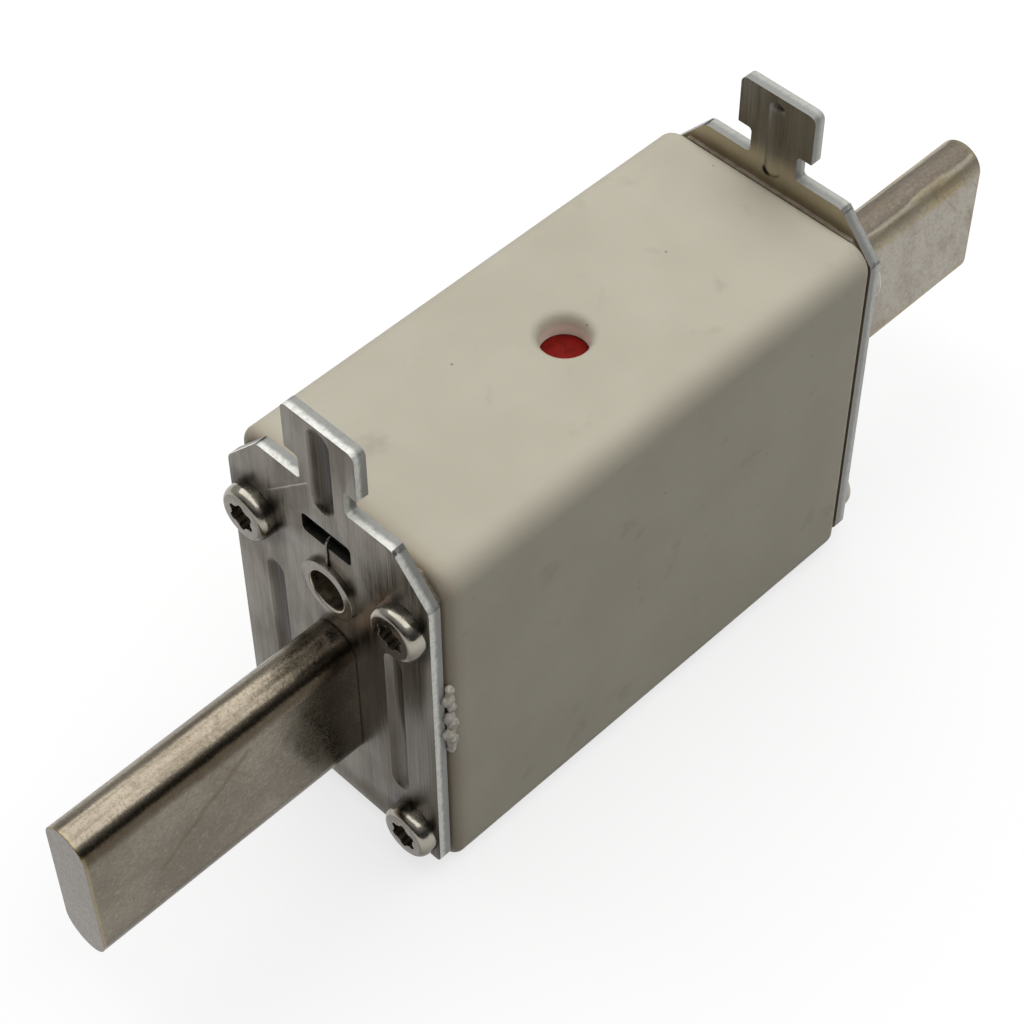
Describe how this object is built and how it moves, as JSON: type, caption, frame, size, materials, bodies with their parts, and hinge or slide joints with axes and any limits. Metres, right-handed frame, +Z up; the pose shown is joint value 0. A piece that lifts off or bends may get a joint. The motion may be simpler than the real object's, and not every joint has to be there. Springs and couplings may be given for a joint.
{
  "type": "knife blade fuse",
  "caption": "Knife blade fuse link: a ceramic body between metal end plates with grip lugs, flat contact blades, punched elements in sand and a pop-up indicator button.",
  "frame": {"origin": "centre of the underside of the ceramic body, which the fuse link stands on", "axes": "+X along the blades towards the plain rear end plate, the plate with fill plug and indicator slot faces -X; +Y to the left seen from the front; +Z up towards the grip lugs"},
  "size_m": [0.137, 0.0298, 0.0606],
  "materials": {
    "steatite": "matte",
    "plate_metal": "satin",
    "gasket_fibre": "matte",
    "blade_silver": "satin",
    "screw_nickel": "polished",
    "plug_nickel": "satin",
    "element_copper": "satin",
    "tin": "satin",
    "sand": "matte",
    "carrier_black": "matte",
    "spring_steel": "satin",
    "button_red": "semi-gloss",
    "trip_wire": "satin"
  },
  "bodies": {
    "fuse_body": {"ceramic_body": "steatite", "end_plate_front": "plate_metal", "end_plate_rear": "plate_metal", "gasket_front": "gasket_fibre", "gasket_rear": "gasket_fibre", "blade_front": "blade_silver", "blade_rear": "blade_silver", "screws_front": "screw_nickel", "screws_rear": "screw_nickel", "fill_plug": "plug_nickel", "element_inner_left": "element_copper", "element_inner_right": "element_copper", "element_outer_left": "element_copper", "element_outer_right": "element_copper", "tin_bars": "tin", "quartz_sand": "sand", "indicator_carrier": "carrier_black", "indicator_leaf": "spring_steel", "trip_wire_front": "trip_wire", "trip_wire_rear": "trip_wire"},
    "indicator": {"indicator_button": "button_red", "trip_wire_link": "trip_wire"}
  },
  "joints": [
    {"name": "indicator_pop_up", "type": "slide", "parent": "fuse_body", "child": "indicator", "axis": [0, 0, 1], "range_m": [0, 0.0028], "deforming": ["indicator_leaf"]}
  ]
}
